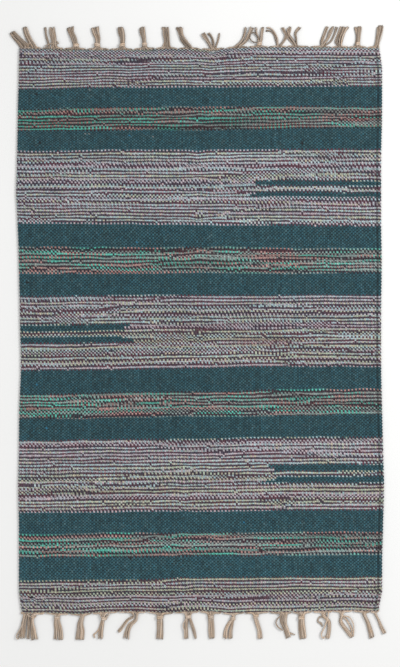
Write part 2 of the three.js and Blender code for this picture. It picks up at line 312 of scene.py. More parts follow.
class ClothSettings(bpy.types.PropertyGroup):
    """Sizes and dyes of the woven field."""

    thickness: FloatProperty(
        name="Thickness", description="Mean height of the upper face", default=4.4 * MM, unit="LENGTH")
    bead_relief: FloatProperty(
        name="Bead relief", description="How far a weft bead stands proud", default=0.38 * MM, unit="LENGTH")
    loop_relief: FloatProperty(
        name="Weft loops", description="How far they stand out", default=0.8 * MM, unit="LENGTH")
    teal: colour_setting("Teal", "Solid bands and thin bars", 46, 84, 91)
    petrol: colour_setting("Petrol", "Bluer beads of the teal", 37, 85, 98)
    plum: colour_setting("Plum", "Dark strand of the marled wefts", 88, 44, 61)
    slate: colour_setting("Slate", "Bluer parts of the dark strand", 60, 48, 66)
    mist: colour_setting("Mist", "Blue-grey part of the pale strand", 177, 195, 199)
    straw: colour_setting("Straw", "Green-beige part of the pale strand", 188, 192, 170)
    lilac: colour_setting("Lilac", "Pink-lavender picks of the pale strand", 187, 177, 187)
    turquoise: colour_setting("Turquoise", "Bright strand of the mixed bands", 84, 168, 152)
    sage: colour_setting("Sage", "Grey-green parts of the bright strand", 128, 138, 135)
    salmon: colour_setting("Salmon", "Warm parts of the bright strand", 158, 127, 122)


class FringeSettings(bpy.types.PropertyGroup):
    """Sizes and colour of the knotted warp ends."""

    yarn_radius: FloatProperty(
        name="Yarn radius", description="Half the width of a warp yarn", default=1.12 * MM, unit="LENGTH")
    yarn: colour_setting("Warp yarn", "Undyed wool of the fringes", 208, 190, 173)


class StudioSettings(bpy.types.PropertyGroup):
    """Floor, light and camera."""

    floor: colour_setting("Floor", "Pale plain floor", 240, 240, 239)
    key_power: FloatProperty(
        name="Key light", description="Power of the large soft light", default=16.0, unit="POWER")
    sky_strength: FloatProperty(
        name="Sky", description="Strength of the even light from all round", default=0.62, subtype="FACTOR")
    lens: FloatProperty(name="Lens", description="Focal length in millimetres", default=85.0, unit="CAMERA")


# Node helpers


def add_node(tree, kind, **settings):
    """Adds a node, laid out in columns of ten."""
    node = tree.nodes.new(kind)
    count = len(tree.nodes)
    node.location = (count // 10 * 200, -(count % 10) * 180)
    for name, value in settings.items():
        setattr(node, name, value)
    return node


def feed(tree, socket, value):
    """Links a value to a socket, or sets a plain number or colour on it."""
    if isinstance(value, Value):
        tree.links.new(value.socket, socket)
    else:
        socket.default_value = value


def fed_node(kind, inputs, **settings):
    """Adds a node to the tree that the values among its inputs are in, feeds it, and returns its outputs."""
    tree = next(value.tree for value in inputs.values() if isinstance(value, Value))
    node = add_node(tree, kind, **settings)
    for socket, value in inputs.items():
        feed(tree, node.inputs[socket], value)
    return [Value(tree, socket) for socket in node.outputs]


class Value:
    """A socket that can be added, multiplied and compared like a number."""

    def __init__(self, tree, socket):
        self.tree, self.socket = tree, socket

    def math(self, operation, *others, clamp=False):
        inputs = dict(enumerate((self, *others)))
        return fed_node("ShaderNodeMath", inputs, operation=operation, use_clamp=clamp)[0]

    def __rsub__(self, other):
        return self.math("MULTIPLY_ADD", -1.0, other)

    __add__ = partialmethod(math, "ADD")
    __sub__ = partialmethod(math, "SUBTRACT")
    __mul__ = partialmethod(math, "MULTIPLY")
    __truediv__ = partialmethod(math, "DIVIDE")
    __pow__ = partialmethod(math, "POWER")
    floor = partialmethod(math, "FLOOR")
    part = partialmethod(math, "FRACT")
    above = partialmethod(math, "GREATER_THAN")
    below = partialmethod(math, "LESS_THAN")
    clamp = partialmethod(math, "ADD", 0.0, clamp=True)

    def ramp(self, low, high):
        """From 0 at low to 1 at high, with a soft start and end."""
        inputs = {"Value": self, "From Min": low, "From Max": high}
        return fed_node("ShaderNodeMapRange", inputs, interpolation_type="SMOOTHSTEP")[0]


def map_place(tree, name):
    """The two numbers of a map of the mesh."""
    node = add_node(tree, "ShaderNodeUVMap", uv_map=name)
    return fed_node("ShaderNodeSeparateXYZ", {0: Value(tree, node.outputs[0])})[:2]


def painted(tree, name):
    """A number that is painted on the points of the mesh."""
    return Value(tree, add_node(tree, "ShaderNodeAttribute", attribute_name=name).outputs["Fac"])


def joined(x, y, z):
    """Three numbers as one vector."""
    return fed_node("ShaderNodeCombineXYZ", {0: x, 1: y, 2: z})[0]


def noise(x, y, z=0.0, detail=0.0):
    """Smooth noise around one half."""
    return fed_node("ShaderNodeTexNoise", {"Vector": joined(x, y, z), "Scale": 1.0, "Detail": detail})[0]


def chance(x, y=0.0, z=0.0):
    """A number from 0 to 1 that belongs to a whole bead, pick or warp."""
    return fed_node("ShaderNodeTexWhiteNoise", {"Vector": joined(x, y, z)}, noise_dimensions="3D")[0]


def mix(factor, first, second, kind="MIX"):
    """A colour between two, by a factor."""
    return fed_node("ShaderNodeMix", {0: factor, 6: first, 7: second}, data_type="RGBA", blend_type=kind)[2]


def shade(colour, amount):
    """A colour made lighter or darker by a factor."""
    return fed_node("ShaderNodeVectorMath", {0: colour, "Scale": amount}, operation="SCALE")[0]


def linear(colour):
    """A display colour as the linear red, green, blue and alpha that shaders take."""
    part = [c / 12.92 if c <= 0.04045 else ((c + 0.055) / 1.055) ** 2.4 for c in colour]
    return (*part, 1.0)


def use_group(name, build, outputs, **inputs):
    """Feeds a shader node group with named number sockets, and returns its outputs. The first use makes it:
    build gets the values of its inputs and returns those of its outputs."""
    inside = bpy.data.node_groups.get(name)
    if inside is None:
        inside = bpy.data.node_groups.new(name, "ShaderNodeTree")
        for way, sockets in (("INPUT", inputs), ("OUTPUT", outputs)):
            for socket in sockets:
                inside.interface.new_socket(socket, in_out=way, socket_type="NodeSocketFloat")
        entry = add_node(inside, "NodeGroupInput")
        leave = add_node(inside, "NodeGroupOutput")
        results = build(*[Value(inside, entry.outputs[socket]) for socket in inputs])
        for socket, result in zip(outputs, results):
            inside.links.new(result.socket, leave.inputs[socket])
    return fed_node("ShaderNodeGroup", inputs, node_tree=inside)


def new_material(name, roughness, sheen=0.0, sheen_roughness=0.5):
    """A material with an empty tree but for its Principled shader and output."""
    material = bpy.data.materials.new(name)
    material.use_nodes = True
    tree = material.node_tree
    tree.nodes.clear()
    output = add_node(tree, "ShaderNodeOutputMaterial")
    principled = add_node(tree, "ShaderNodeBsdfPrincipled")
    tree.links.new(principled.outputs[0], output.inputs["Surface"])
    for socket, value in (("Roughness", roughness), ("Specular IOR Level", 0.25),
                          ("Sheen Weight", sheen), ("Sheen Roughness", sheen_roughness)):
        principled.inputs[socket].default_value = value
    return material, tree, principled


def dress(principled, colour, height, bump):
    """Gives wool its colour, and a bump of a height over a distance in metres."""
    colour.tree.links.new(colour.socket, principled.inputs["Base Color"])
    (normal,) = fed_node("ShaderNodeBump", {"Strength": 0.8, "Distance": bump, "Height": height})
    colour.tree.links.new(normal.socket, principled.inputs["Normal"])


def wool_fibres(along, across, spread):
    """Fine fibres that run along a yarn: their lightness around one, and their height."""
    streaks = noise(along, across * 3.0, 0.0, 2.0)
    fuzz = noise(along * 2.3, across * 7.1, 5.0, 3.0)
    height = streaks * 0.6 + fuzz * 0.4
    return (height - 0.5) * spread + 1.0, height


def fibres(along, across, spread):
    return use_group(
        "Wool fibres", wool_fibres, ("Lightness", "Height"), Along=along, Across=across, Spread=spread)


# Wool of the woven field


def bead_lattice(along_weft, along_warp):
    """Which warp and which pick shows here, and where in that bead. Odd warps show the odd picks."""
    warp = along_weft.floor()
    odd = (warp * 0.5).part() * 2.0
    half = (along_warp - odd) * 0.5
    pick = half.floor() * 2.0 + odd
    return warp, pick, along_weft.part(), half.part()


def strands_in_bead(across, along, order, slant):
    """Which of the two strands of a pick lies here, below 0 or above it, and how round they look."""
    along = along - (across - 0.5) * slant
    one = (along * math.pi).math("SINE")
    two = (along * (2 * math.pi)).math("SINE").math("ABSOLUTE").math("SQRT")
    return (along - 0.5) * order * 2.6, one + (two - one) * order.math("ABSOLUTE")


def thin_bar(warp, pick, first, last, end, lean, side):
    """One inside a thin bar that runs to one selvedge and ends in small steps."""
    inside = pick.above(first - 0.5) * pick.below(last + 0.5)
    stepped = end + (pick - first) * lean + chance(pick, 4.0) * 2.0
    return (inside * ((warp - stepped) * side).above(0.0),)


class Bead:
    """The bead that shows at a point of the cloth, as node values: its warp and pick, the place in it and
    along the weft, and what its band is like."""

    def __init__(self, tree):
        self.weft, along_warp = map_place(tree, "Weave")
        self.warp, self.pick, self.across, self.along = use_group(
            "Bead lattice", bead_lattice, ("Warp", "Pick", "Across", "Along"), U=self.weft, V=along_warp)
        self.mixed = self.by_band([float(band.kind == "mixed") for band in BANDS])
        self.teal = self.by_band([float(band.kind == "teal") for band in BANDS])
        self.tone = self.by_band([band.tone for band in BANDS])
        self.paler = (self.tone - 1.0).math("MAXIMUM", self.mixed - 1.0)
        for band, first, picks, *ends, side in THIN_BARS:
            start = BAND_STARTS[band] + first
            begin, finish = ((end * MM / CUT_WIDTH + 0.5) * WARPS - 1.0 for end in ends)
            (bar,) = use_group(
                "Thin bar", thin_bar, ("Mask",), Warp=self.warp, Pick=self.pick,
                First=float(start), Last=float(start + picks - 1),
                End=begin, Lean=(finish - begin) / (picks - 1), Side=float(side))
            self.teal = self.teal.math("MAXIMUM", bar)

    def by_band(self, levels):
        """A level for each band, all along its picks."""
        tree = self.pick.tree
        node = add_node(tree, "ShaderNodeValToRGB")
        node.color_ramp.interpolation = "CONSTANT"
        feed(tree, node.inputs[0], (self.pick + 0.5) / float(PICKS))
        stops = node.color_ramp.elements
        while len(stops) > 1:
            stops.remove(stops[-1])
        for start, level in zip(BAND_STARTS, levels):
            stop = stops[0] if start == 0 else stops.new(start / PICKS)
            stop.position = start / PICKS
            stop.color = (level, level, level, 1.0)
        return Value(tree, node.outputs[0])

    def chance(self, number):
        """A number from 0 to 1 that belongs to this bead, another one for each number given."""
        return chance(self.warp, self.pick, number)


def strand_order(bead):
    """From -1 to 1, which strand of a pick lies above the other. They lie side by side and swap places here
    and there: picks that lie alike show as dots, and picks that lie the other way round show as lines."""
    weft, pick = bead.weft, bead.pick
    run = bead.mixed / 110.0 + 1 / 105.0
    together = noise(weft / 120.0, pick * 0.07)
    line_lean = bead.by_band([band.lean for band in BANDS])
    lines = (noise(weft * run, pick * 0.11, 41.0) + line_lean).ramp(0.29, 0.36)
    alone = noise(weft * run, chance(pick, 2.0) * 900.0, 0.0, 1.0)
    every_other = (pick * 0.5).part() * 2.0
    turns = together * 2.6 + every_other * lines + alone * 0.9 + chance(pick, 3.0).above(0.86)
    order = (turns * math.pi).math("COSINE") * 5.0 + (bead.chance(14.0) - 0.5) * 0.4
    single_swap = bead.chance(18.0).above(0.978)
    order = order.math("MINIMUM", 1.0).math("MAXIMUM", -1.0) * (1.0 - single_swap * 2.0)
    settled = bead.teal.math("MAXIMUM", pick.below(1.5))
    return order * (1.0 - settled) + settled


def strands(bead):
    """One where the pale strand shows and 0 where the dark one does, and how round the two look."""
    weft, pick = bead.weft, bead.pick
    slant = noise(weft / 50.0, pick / 9.0, 21.0) * 1.1 - 0.4
    strand, roundness = use_group(
        "Strands in a bead", strands_in_bead, ("Strand", "Roundness"), Across=bead.across, Along=bead.along,
        Order=strand_order(bead), Slant=slant + bead.chance(15.0) * 0.2)
    slub = noise(weft / 80.0, chance(pick, 16.0) * 700.0, 8.0, 2.0)
    drawn = noise(weft / 26.0, pick * 0.45, 51.0, 1.0)
    share = (slub - 0.5) * 1.8 + (drawn - 0.5) * 1.1 + (bead.chance(19.0) - 0.5) * 0.5
    return (strand + (share + bead.paler * 1.3) + 0.02).ramp(-0.2, 0.2), roundness


def bright_dye(bead, cloth):
    """Colour of the bright strand in the mixed bands: turquoise that fades to sage, with warm stretches."""
    weft, pick = bead.weft, bead.pick
    to_right = (weft / float(WARPS)).ramp(0.1, 0.75) * 0.06
    in_first = pick.above(FIRST_MIXED[0])
    faded = noise(weft / 32.0, pick * 0.9, 3.0, 1.0)
    faded = faded - in_first * pick.below(FIRST_MIXED[1]) * (0.05 - to_right) + bead.paler * 0.4
    warm = noise(weft / 40.0, pick * 0.9, 60.0, 1.0) + pick.below(WARM_UNTIL) * in_first * 0.03
    bright = mix((faded + to_right).ramp(0.45, 0.55), linear(cloth.turquoise), linear(cloth.sage))
    return mix((warm - to_right * 0.6).ramp(0.525, 0.585), bright, linear(cloth.salmon))


def strand_dyes(bead, cloth):
    """Colours of the dark and of the pale strand. Their dyes drift from pick to pick and slowly along it."""
    weft, pick = bead.weft, bead.pick
    drift = noise(weft / 18.0, chance((pick / 3.0).floor(), 5.0) * 70.0, 2.0, 2.0)
    dark = mix(drift.ramp(0.35, 0.6), linear(cloth.plum), linear(cloth.slate))
    down = pick / float(PICKS)
    warmth = down.ramp(0.35, 0.6) * 0.13 + down.ramp(0.9, 0.96) * 0.13
    tint = drift + chance(pick, 6.0) * 0.4 + (bead.chance(20.0) - 0.5) * 0.3 - 0.3 + warmth
    pale = mix(tint.ramp(0.35, 0.65), linear(cloth.mist), linear(cloth.straw))
    pale = mix(chance(pick, 7.0).above(0.6) * 0.85, pale, linear(cloth.lilac))
    far_across = ((weft - MADDER_MIDDLE[0]) / MADDER_REACH[0]) ** 2.0
    far_along = ((pick - MADDER_MIDDLE[1]) / MADDER_REACH[1]) ** 2.0
    pale = mix((1.0 - far_across - far_along).clamp() * 0.6, pale, linear(cloth.salmon))
    pale = mix(bead.mixed, pale, shade(bright_dye(bead, cloth), 1.25))
    return shade(dark, 1.0 - bead.mixed * 0.45), pale


def marl_colour(bead, cloth, pale_on_top):
    """Colour of the two-strand picks, blurred by loose fibres where a bead goes under its neighbours."""
    dark, pale = strand_dyes(bead, cloth)
    colour = mix(pale_on_top, dark, pale)
    fluff = (bead.across * 2.0 - 1.0) ** 4.0 * 0.5
    colour = mix(fluff, colour, mix(0.55, dark, pale))
    swell = noise(bead.weft / 70.0, bead.pick * 0.35, 11.0, 1.0)
    colour = shade(colour, (swell - 0.5) * (bead.mixed * 0.9 + 0.7) + 1.0)
    blush = mix(bead.chance(21.0), (0.87, 1.03, 1.05, 1.0), (1.13, 0.97, 0.95, 1.0))
    return mix(1.0, colour, blush, "MULTIPLY")


def teal_colour(bead, cloth, fullness):
    """Colour of the plain teal picks, with pale flecks on single beads and a pale painted highlight on the
    fullest part of each.
    """
    # Random pale flecks, and a painted highlight where the bead is fullest
    fleck_and_highlight = bead.chance(12.0) ** 9.0 * 0.06 + fullness ** 2.0 * 0.035
    deep = mix(bead.chance(17.0), linear(cloth.teal), linear(cloth.petrol))
    return mix(fleck_and_highlight, deep, linear(cloth.mist))


def woven_wool(cloth):
    """The weft-faced cloth: beads of two strands side by side over each warp, or plain teal ones."""
    material, tree, principled = new_material("Woven wool", roughness=0.92, sheen=0.15, sheen_roughness=0.6)
    bead = Bead(tree)
    teal = bead.teal
    pale_on_top, roundness = strands(bead)
    # Profiles across and along each bead, low at its sides and ends: they set painted shade there, a painted
    # highlight on the tops of the teal beads, and the bump
    crown = (1.0 - (bead.across * 2.0 - 1.0) ** 2.0 * (teal * 0.2 + 0.75)).math("SQRT")
    ends = 1.0 - (bead.along * 2.0 - 1.0) ** 2.0 * (teal * 0.76 + 0.2)
    marl = marl_colour(bead, cloth, pale_on_top)
    colour = mix(teal, marl, teal_colour(bead, cloth, crown * ends))

    # Each bead is a little lighter or darker at random, and painted shade darkens it between its two
    # strands, at its sides and at its ends, where it goes under its neighbours
    fibre_light, fibre_height = fibres(bead.weft * 1.9, bead.along * 0.9 + bead.pick, teal * 2.3 + 1.1)
    bead_light = (bead.chance(9.0) - 0.5) * (teal * 0.16 + 0.36) + 1.0
    patch = noise(bead.weft / 17.0, bead.pick / 12.0, 4.0, 1.0).ramp(0.35, 0.65)
    bead_light = bead_light + (chance(bead.warp, 13.0) - 0.5) * (1.2 - patch) * teal * 0.3
    hollow_shade = (roundness * 0.45 + 0.55) * (crown * 0.5 + 0.5 + teal * 0.06) * ends
    colour = shade(colour, fibre_light * bead_light * hollow_shade * bead.tone)
    for kind, (slub_colour, _, _) in SLUBS.items():
        colour = mix(painted(tree, f"nep_{kind}").ramp(0.25, 0.6), colour, slub_colour)
    # Painted shade: a dark line along the crease beside the right selvedge cord
    colour = shade(colour, 1.0 - painted(tree, "crease") * 0.65)
    relief = (roundness * 0.45 + crown * ends * 0.8) * (1.0 - teal * 0.35) + fibre_height * 0.25
    dress(principled, colour, relief, bump=0.7 * MM)
    return material


# Wool of the fringes


def yarn_plies(around, along):
    """Two plies twisted round each other: the valley between them, for painted shade and the bump."""
    wave = ((around * 2.0 + along) * (2 * math.pi)).math("COSINE")
    return ((wave * 0.5 + 0.5) ** 0.6,)


def warp_yarn(fringe):
    """Undyed plied warp yarn, with painted shade on the sides and underside of each yarn and in the valleys
    between its plies.
    """
    material, tree, principled = new_material("Warp yarn", roughness=0.9, sheen=0.2)
    around, along = map_place(tree, "Yarn")
    (crest,) = use_group("Yarn plies", yarn_plies, ("Crest",), Around=around, Along=along / 3.2)
    fibre_light, fibre_height = fibres(along * 0.8 + around * 2.0, around * 3.0 + along * 0.3, 0.7)
    tone = painted(tree, "tone")
    # Painted shade: each yarn is lighter on top and darker on its sides and underside
    top_and_side_shade = painted(tree, "crest").ramp(-0.1, 0.95)
    yarn_tone_and_shade = (tone * 0.5 + 0.72) * (top_and_side_shade * 0.66 + 0.38)
    base = linear(fringe.yarn)
    aged = (base[0] * 0.93, base[1] * 0.84, base[2] * 0.74, 1.0)
    patch = noise(along * 0.09, tone * 40.0, 0.0, 1.0)
    colour = mix(patch.ramp(0.35, 0.7), base, aged)
    # Fibres and the random tone of each yarn, with painted shade on its sides and in the valleys between its
    # plies
    colour = shade(colour, fibre_light * yarn_tone_and_shade * (crest * 0.38 + 0.62))
    dress(principled, colour, crest + fibre_height * 0.5, bump=0.45 * MM)
    return material


# Mesh helpers


def new_object(name, data):
    """An object in the scene."""
    made = bpy.data.objects.new(name, data)
    bpy.context.scene.collection.objects.link(made)
    return made


def add_attribute(mesh, name, values):
    mesh.attributes.new(name, "FLOAT", "POINT").data.foreach_set("value", values.astype(np.float32))


def add_map(mesh, name, places):
    mesh.uv_layers.new(name=name).data.foreach_set("uv", np.asarray(places, np.float32).ravel())


# Mesh of the woven field


def soft_noise(x, y, size_x, size_y, seed):
    """Smooth noise from -1 to 1 over patches of the given size."""
    dice = np.random.default_rng(seed).uniform(-1, 1, (64, 64))
    u, v = np.asarray(x) / size_x + 20, np.asarray(y) / size_y + 20
    i, j = np.floor(u).astype(int), np.floor(v).astype(int)
    f, g = u - i, v - j
    f, g = f * f * (3 - 2 * f), g * g * (3 - 2 * g)
    corner = [[dice[(i + a) % 64, (j + b) % 64] for b in (0, 1)] for a in (0, 1)]
    low = corner[0][0] * (1 - f) + corner[1][0] * f
    high = corner[0][1] * (1 - f) + corner[1][1] * f
    return low * (1 - g) + high * g


class Outline:
    """The edge of the CAD rug where it is widest: a wandering line on each of its four sides."""

    def __init__(self):
        points = np.array([v.co[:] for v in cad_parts["rug"].data.vertices])
        points = points[np.abs(points[:, 2] - points[:, 2].max() / 2) < 1.0 * MM][:, :2] - MIDDLE
        x, y = points.T
        within = np.abs(x) < CORNERS_FROM
        self.lines = {}
        for side, chosen, along, shift in (
            ("left", x < -SIDES_FROM, 1, 0), ("right", x > SIDES_FROM, 1, 0),
            ("head", (y > ENDS_FROM) & within, 0, HEAD_PULL),
            ("foot", (y < -ENDS_FROM) & within, 0, FOOT_PUSH),
        ):
            line = points[chosen]
            line = line[np.argsort(line[:, along])]
            self.lines[side] = line[:, along], line[:, 1 - along] - shift

    def at(self, side, place):
        return np.interp(place, *self.lines[side])


def woven_grid(outline):
    """Places of the cloth's grid points: a column for each warp, and a row for each pick."""
    warps = np.concatenate([[0], np.arange(WARPS) + 0.5, [WARPS]])
    picks = np.arange(PICKS + 1)
    starts = (*BAND_STARTS, PICKS)
    x = np.tile((warps / WARPS - 0.5) * CUT_WIDTH, (PICKS + 1, 1))
    for _ in range(2):
        borders = [outline.at("head", x) - EDGE_INSET]
        for band in BANDS[1:]:
            borders.append(np.interp(x, np.array(BORDER_PLACES) * MM, np.array(band.borders) * MM))
        borders.append(outline.at("foot", x) + EDGE_INSET)
        y = np.zeros_like(x)
        for row, band in enumerate(ROW_BANDS):
            share = (row - starts[band]) / (starts[band + 1] - starts[band])
            y[row] = borders[band][row] * (1 - share) + borders[band + 1][row] * share
            y[row] -= NOTCH_DEPTH * np.exp(-(((x[row] - NOTCH_PLACE) / NOTCH_WIDTH) ** 2) - row / 3)
        left = outline.at("left", y) + EDGE_INSET
        right = outline.at("right", y) - EDGE_INSET
        x = left + (right - left) * warps / WARPS
    return warps, picks, x, y


def upper_face(cloth):
    """The beaded upper face: the warp of each column, the pick of each row, and the places of its points."""
    warps, picks, x, y = woven_grid(Outline())
    row, column = np.indices(x.shape)
    from_ends = np.minimum(row, row[::-1])
    from_sides = np.minimum(warps, WARPS - warps)
    fade = (np.minimum(from_ends, from_sides) / EDGE_FADE).clip(0, 1)
    wave_x = soft_noise(x, y, 0.030, 0.060, 3) * 0.4 * MM + soft_noise(x, y, 0.0042, 0.150, 9) * 0.5 * MM
    wave_y = soft_noise(x, y, 0.040, 0.010, 4) * 0.9 * MM + soft_noise(x, y, 0.011, 0.006, 7) * 0.4 * MM
    wave_y *= np.array([1.5 if BANDS[band].kind == "mixed" else 1.0 for band in ROW_BANDS])[:, None]
    seam = np.where(y > SEAM_TURN, *SEAM_PLACES)
    jolt = soft_noise(x * 0, y, 1.0, 0.009, 8) * 2.0 * MM
    wave_y += jolt * np.exp(-(((x - seam) / SEAM_WIDTH) ** 2))
    x, y = x + wave_x * fade, y + wave_y * fade
    bead = np.where((row + column) % 2 == 0, 1.0, -1.0)
    bead[:, 0] = bead[:, -1] = -0.6
    z = cloth.thickness + bead * cloth.bead_relief + soft_noise(x, y, 0.05, 0.07, 5) * 0.22 * MM
    z[:, CORD_COLUMN] -= CORD_DROP
    z[[0, -1]] -= END_DROP
    return warps, picks, x, y, z


def border_loop(rows, columns):
    """Rows and columns round the edge of a grid, clockwise from the head's left corner, and the ways out."""
    last, right = rows - 1, columns - 1
    loop = [(0, c, (0, 1)) for c in range(columns)]
    loop += [(r, right, (1, 0)) for r in range(1, rows)]
    loop += [(last, c, (0, -1)) for c in range(right - 1, -1, -1)]
    loop += [(r, 0, (-1, 0)) for r in range(last - 1, 0, -1)]
    corners = {(0, 0): (-1, 1), (0, right): (1, 1), (last, right): (1, -1), (last, 0): (-1, -1)}
    ways = [np.array(corners[r, c]) * CORNER_REACH if (r, c) in corners else way for r, c, way in loop]
    return [(r, c) for r, c, _ in loop], np.array(ways, float)


class Sheet:
    """Collects the faces and points of the closed sheet. Each point has its place, its warp and pick, and
    its place with the rim laid flat."""

    def __init__(self):
        self.points, self.weave, self.flat = (np.zeros((0, numbers)) for numbers in (3, 2, 2))
        self.faces = []

    def add(self, points, weave, flat):
        """Adds points and returns their numbers."""
        numbers = len(self.points) + np.arange(len(points))
        self.points = np.vstack([self.points, points])
        self.weave = np.vstack([self.weave, weave])
        self.flat = np.vstack([self.flat, flat])
        return numbers


def add_underside(sheet, rim, warps, picks, x, y):
    """The plain underside: a coarse grid, whose outer faces take in all points of the rim's last ring."""
    rows, columns = (np.unique(np.r_[0:n:UNDERSIDE_STEP, n - 1]).tolist() for n in x.shape)
    inside = [(r, c) for r in rows[1:-1] for c in columns[1:-1]]
    r, c = np.array(inside).T
    points = np.column_stack([x[r, c], y[r, c], np.full(len(inside), UNDERSIDE_RISE)])
    numbers = sheet.add(points, np.column_stack([warps[c], picks[r]]), points[:, :2])
    under = {**rim, **dict(zip(inside, numbers.tolist()))}
    for r0, r1 in zip(rows, rows[1:]):
        for c0, c1 in zip(columns, columns[1:]):
            head = range(c0, c1) if r0 == 0 else (c0,)
            right = range(r0, r1) if c1 == columns[-1] else (r0,)
            foot = range(c1, c0, -1) if r1 == rows[-1] else (c1,)
            left = range(r1, r0, -1) if c0 == 0 else (r1,)
            sheet.faces.append([under[r0, c] for c in head] + [under[r, c1] for r in right]
                               + [under[r1, c] for c in foot] + [under[r, c0] for r in left])


def weave_cloth(cloth):
    """The closed sheet: a beaded upper face, a rounded rim with weft loops, and a plain underside."""
    warps, picks, x, y, z = upper_face(cloth)
    sheet = Sheet()
    upper = np.stack([x, y, z], -1).reshape(-1, 3)
    weave = np.stack(np.broadcast_arrays(warps[None, :], picks[:, None].astype(float)), -1).reshape(-1, 2)
    grid = sheet.add(upper, weave, upper[:, :2]).reshape(x.shape)
    quads = np.stack([grid[:-1, :-1], grid[1:, :-1], grid[1:, 1:], grid[:-1, 1:]], -1)
    sheet.faces += quads.reshape(-1, 4).tolist()

    # The rim goes down in rings, and at the selvedges the weft turns stand out as loops
    loop, out = border_loop(*x.shape)
    ring = np.array([grid[place] for place in loop])
    border, border_weave = upper[ring], weave[ring]
    loops = np.where(np.array([r for r, _ in loop]) % 2 == 0, 1.0, -0.6) * cloth.loop_relief
    ripple = soft_noise(border[:, 0], border[:, 1], 0.006, 0.006, 6) * 0.3 * MM
    reach = EDGE_INSET + np.where(np.abs(out[:, 0]) > 0.5, loops, ripple)
    for step in range(1, RIM_STEPS + 1):
        angle = math.pi * step / RIM_STEPS
        travel = RIM_RADIUS * min(angle, math.pi - angle)
        level = border[:, 2] / 2 * (1 + math.cos(angle))
        lower = sheet.add(
            np.column_stack([border[:, :2] + out * (reach * math.sin(angle))[:, None], level]),
            border_weave + out * RIM_WEAVE * travel / MM, border[:, :2] + out * travel)
        sheet.faces += np.stack([ring, np.roll(ring, -1), np.roll(lower, -1), lower], -1).tolist()
        ring = lower
        if step == RIM_STEPS // 2:
            upper_faces = len(sheet.faces)
    add_underside(sheet, dict(zip(loop, ring.tolist())), warps, picks, x, y)

    mesh = bpy.data.meshes.new("woven_field")
    mesh.from_pydata((sheet.points + (*MIDDLE, 0.0)).tolist(), [], sheet.faces)
    mesh.shade_smooth()
    corner = np.zeros(len(mesh.loops), int)
    mesh.loops.foreach_get("vertex_index", corner)
    add_map(mesh, "Weave", sheet.weave[corner])
    flat = sheet.flat - sheet.points[:, :2].min(0)
    add_map(mesh, "OFBake", bake_places(mesh, flat[corner], upper_faces))
    paint_marks(mesh, upper[:, :2], grid[:, CORD_COLUMN])
    return mesh


def bake_places(mesh, flat, upper_faces):
    """Places for baking, with the upper face at full size and the underside beside it at about half size."""
    starts = np.zeros(len(mesh.polygons), int)
    mesh.polygons.foreach_get("loop_start", starts)
    is_upper = np.arange(len(flat)) < starts[upper_faces]
    upper = (flat + BAKE_EDGES[0]) / BAKE_SPAN
    scale = (1 - UPPER_ISLAND - 3 * BAKE_GAP) / FLAT_WIDTH
    lower = (flat + BAKE_EDGES[1]) * scale + (UPPER_ISLAND + 2 * BAKE_GAP, BAKE_GAP)
    return np.where(is_upper[:, None], upper, lower)


def paint_marks(mesh, upper, cord_points):
    """Marks the slubs of stray fibre, and the crease beside the right selvedge cord, which the wool darkens
    with painted shade.
    """
    for kind, (_, beads, places) in SLUBS.items():
        marks = np.zeros(len(mesh.vertices))
        for place in places:
            away = np.hypot(*(upper - np.array(place) * MM).T)
            marks[np.argsort(away)[:beads]] = 1.0
        add_attribute(mesh, f"nep_{kind}", marks)
    crease = np.zeros(len(mesh.vertices))
    crease[cord_points] = 1.0
    add_attribute(mesh, "crease", crease)


# Meshes of the fringes


def resample(path, step):
    """A smooth line through control points, at even steps."""
    path = np.asarray(path, float)
    padded = np.vstack([2 * path[0] - path[1], path, 2 * path[-1] - path[-2]])
    t = np.linspace(0, 1, 12, endpoint=False)[:, None]
    parts = []
    for a, b, c, d in zip(padded, padded[1:], padded[2:], padded[3:]):
        bend = (c - a) * t + (2 * a - 5 * b + 4 * c - d) * t**2 + (3 * b - a - 3 * c + d) * t**3
        parts.append(0.5 * (2 * b + bend))
    line = np.vstack([*parts, path[-1:]])
    length = np.concatenate([[0], np.cumsum(np.linalg.norm(np.diff(line, axis=0), axis=1))])
    places = np.linspace(0, length[-1], max(3, int(round(length[-1] / step)) + 1))
    return np.column_stack([np.interp(places, length, line[:, n]) for n in range(3)]), places


def ways_across(line, closed):
    """Two ways across a line at each of its points, carried along it without a twist."""
    tangent = np.roll(line, -1, 0) - np.roll(line, 1, 0)
    if not closed:
        tangent[0], tangent[-1] = line[1] - line[0], line[-1] - line[-2]
    tangent /= np.linalg.norm(tangent, axis=1, keepdims=True)
    normal = np.zeros_like(line)
    guess = np.array([0, 0, 1.0]) if abs(tangent[0, 2]) < 0.8 else np.array([0, 1.0, 0])
    for n, way in enumerate(tangent):
        guess = guess - way * guess.dot(way)
        guess /= np.linalg.norm(guess)
        normal[n] = guess
    side = np.cross(tangent, normal)
    if closed:
        twist = math.atan2(np.dot(normal[0], side[-1]), np.dot(normal[0], normal[-1]))
        spread = -np.linspace(0, 1, len(line))[:, None] * twist
        normal, side = (normal * np.cos(spread) + side * np.sin(spread),
                        side * np.cos(spread) - normal * np.sin(spread))
    return normal, side


